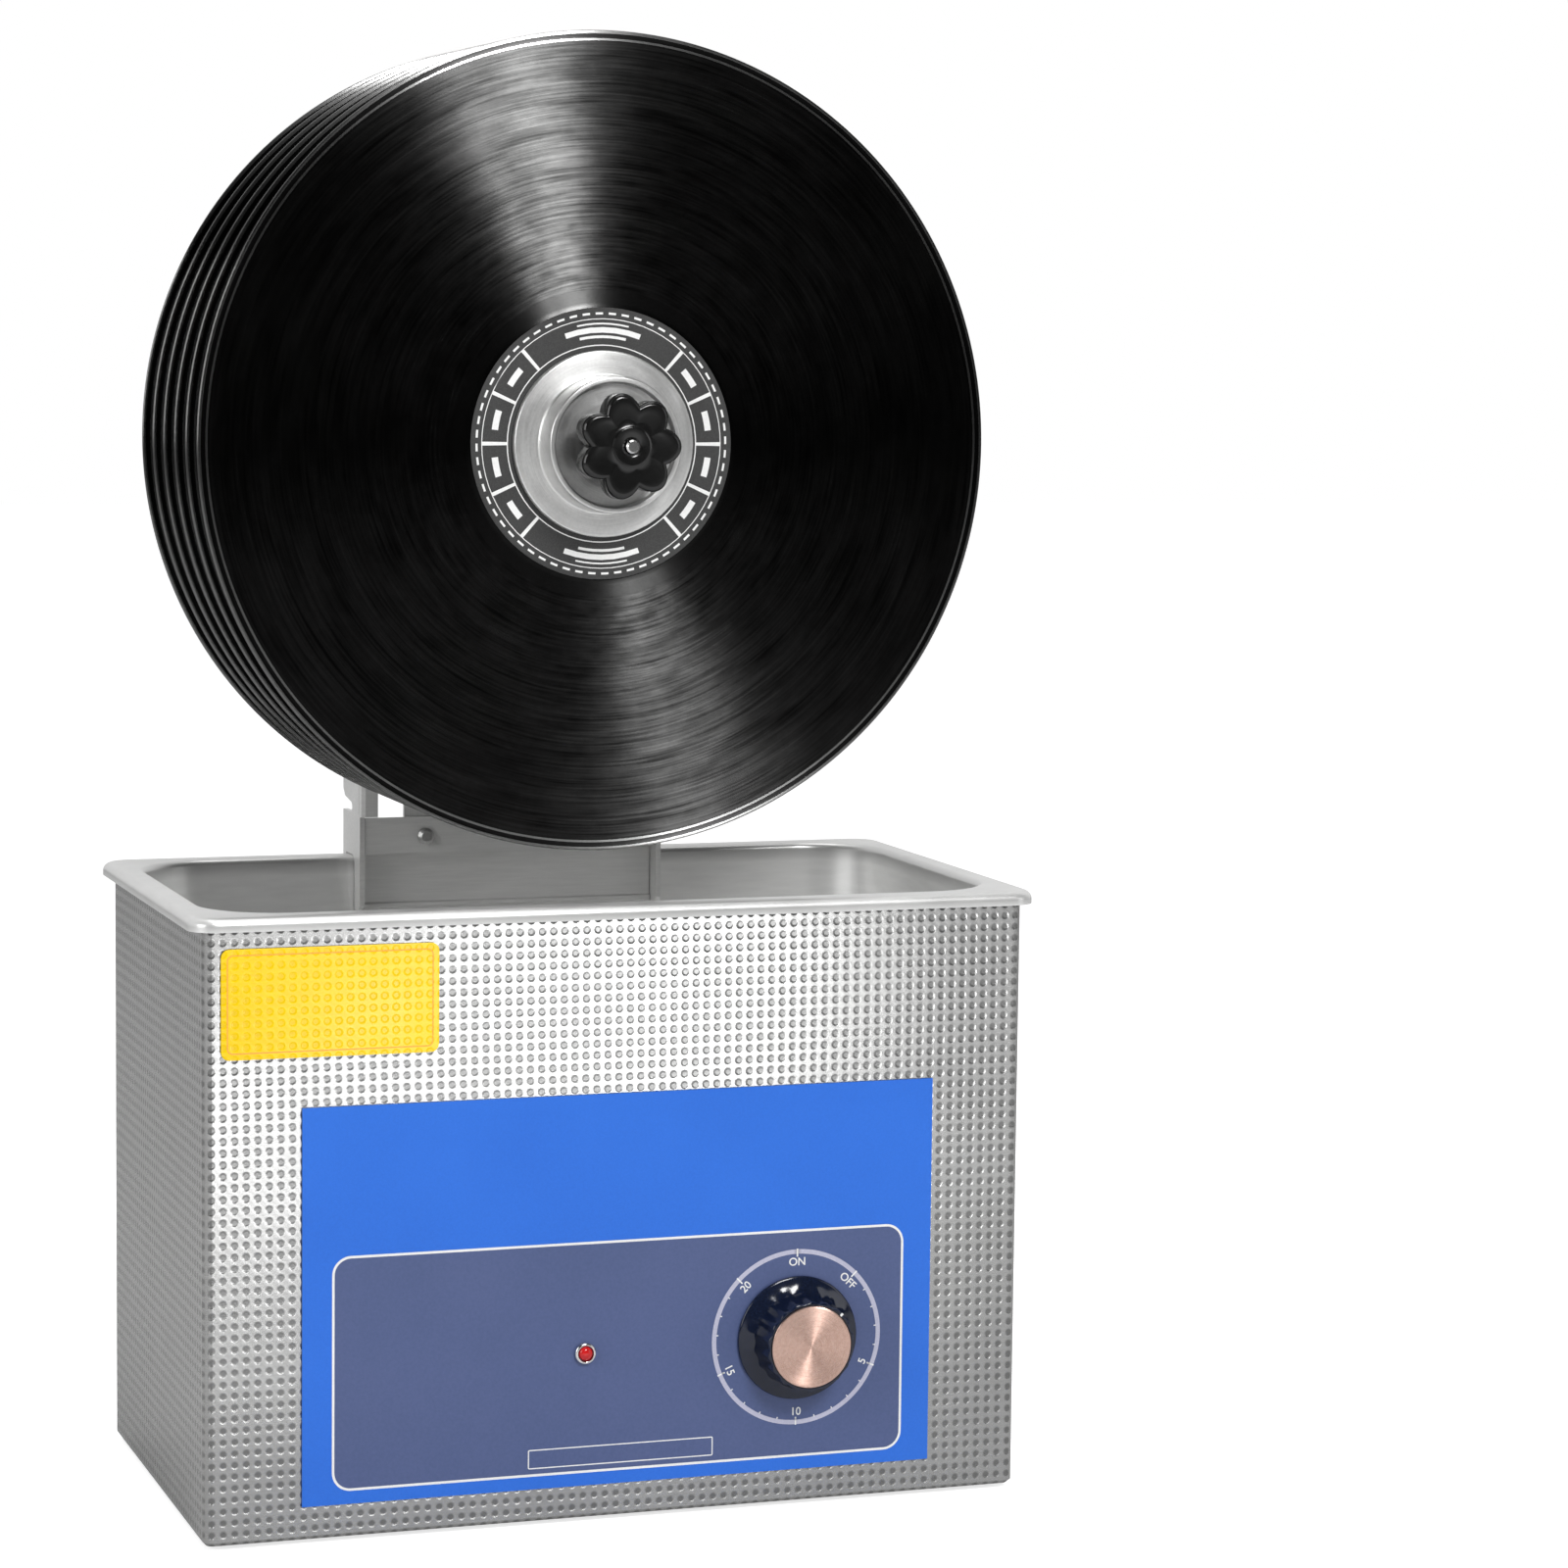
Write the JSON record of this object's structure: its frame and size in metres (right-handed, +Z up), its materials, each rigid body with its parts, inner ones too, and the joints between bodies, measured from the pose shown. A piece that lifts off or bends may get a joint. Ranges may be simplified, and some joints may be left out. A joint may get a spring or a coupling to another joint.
{
  "type": "record cleaning machine",
  "caption": "Ultrasonic bath in a dimpled steel case with timer knob, and a notched hanger whose motor spindle carries records that lower into the tank",
  "frame": {"origin": "on the floor, under the middle of the whole machine's bounding box", "axes": "X to the machine's right seen from the front, Y to the back, Z up; the spindle runs along Y"},
  "size_m": [0.322, 0.2398, 0.5468],
  "materials": {
    "case_steel": "dimple-pressed stainless sheet, semi-bright",
    "tank_steel": "drawn stainless, satin",
    "base_steel": "plain sheet",
    "foot_rubber": "black rubber",
    "panel_blue": "blue printed film, satin",
    "plate_yellow": "bare yellow film",
    "lamp_red": "red translucent dome",
    "knob_black": "glossy black moulding",
    "knob_copper": "spun copper-coloured cap",
    "inlet_black": "black moulding",
    "horn_aluminium": "turned",
    "board_green": "circuit board",
    "timer_grey": "grey moulding",
    "hanger_steel": "folded stainless sheet",
    "mast_steel": "flat stainless plate",
    "screw_steel": "plated steel",
    "thumb_brass": "fluted brass",
    "sleeve_grey": "grey moulding",
    "bearing_bronze": "plain bearing bronze",
    "motor_steel": "plated can",
    "motor_black": "black moulding",
    "shaft_steel": "bright turned steel",
    "record_black": "pressed black vinyl with grooves",
    "label_dark": null,
    "spacer_grey": "dark grey moulding",
    "clamp_metal": "turned, satin",
    "star_black": "black moulding"
  },
  "bodies": {
    "cleaner": {"case_shell": "case_steel", "base_plate": "base_steel", "tank": "tank_steel", "foot_front_left": "foot_rubber", "foot_front_right": "foot_rubber", "foot_back_left": "foot_rubber", "foot_back_right": "foot_rubber", "front_panel": "panel_blue", "yellow_plate": "plate_yellow", "lamp_ring": "shaft_steel", "lamp_lens": "lamp_red", "timer_body": "timer_grey", "power_inlet": "inlet_black", "transducer_front_left": "horn_aluminium", "transducer_front_right": "horn_aluminium", "transducer_back_left": "horn_aluminium", "transducer_back_right": "horn_aluminium", "generator_board": "board_green", "cheek_left": "hanger_steel", "cheek_right": "hanger_steel", "cross_band": "hanger_steel", "mast": "mast_steel", "mast_screw_left": "screw_steel", "mast_screw_right": "screw_steel", "rim_clamp_plate": "hanger_steel"},
    "timer_dial": {"timer_knob": "knob_black", "timer_knob_cap": "knob_copper"},
    "carriage": {"slider_sleeve": "sleeve_grey", "bearing_tube": "bearing_bronze", "gearbox": "motor_steel", "motor_can": "motor_steel", "motor_cap": "motor_black", "latch_lug_left": "sleeve_grey", "latch_lug_right": "sleeve_grey"},
    "latch": {"latch_bar": "shaft_steel"},
    "spindle": {"spindle_shaft": "shaft_steel", "rear_flange": "clamp_metal", "record_1": "record_black", "record_2": "record_black", "record_3": "record_black", "record_4": "record_black", "record_5": "record_black", "record_6": "record_black", "spacer_1": "spacer_grey", "spacer_2": "spacer_grey", "spacer_3": "spacer_grey", "spacer_4": "spacer_grey", "spacer_5": "spacer_grey", "front_label": "label_dark", "clamp_hub": "clamp_metal"},
    "clamp_knob": {"star_knob": "star_black"},
    "thumb_left": {"thumb_screw_left": "thumb_brass"},
    "thumb_right": {"thumb_screw_right": "thumb_brass"}
  },
  "joints": [
    {"name": "carriage_lift", "type": "slide", "parent": "cleaner", "child": "carriage", "axis": [0, 0, 1], "range_m": [-0.125, 0]},
    {"name": "latch_slide", "type": "slide", "parent": "carriage", "child": "latch", "axis": [0, -1, 0], "range_m": [0, 0.015]},
    {"name": "spindle_turn", "type": "hinge", "parent": "carriage", "child": "spindle", "pos_m": [0, -0.01535, 0.396], "axis": [0, 1, 0], "continuous": true},
    {"name": "clamp_knob_turn", "type": "hinge", "parent": "spindle", "child": "clamp_knob", "pos_m": [0, -0.10385, 0.396], "axis": [0, 1, 0], "continuous": true},
    {"name": "timer_turn", "type": "hinge", "parent": "cleaner", "child": "timer_dial", "pos_m": [0.0675, -0.10275, 0.0648], "axis": [0, 1, 0], "range_deg": [-46, 270]},
    {"name": "thumb_left_turn", "type": "hinge", "parent": "cleaner", "child": "thumb_left", "pos_m": [-0.04, 0.07065, 0.2172], "axis": [0, 1, 0], "continuous": true},
    {"name": "thumb_right_turn", "type": "hinge", "parent": "cleaner", "child": "thumb_right", "pos_m": [0.04, 0.07065, 0.2172], "axis": [0, 1, 0], "continuous": true}
  ]
}
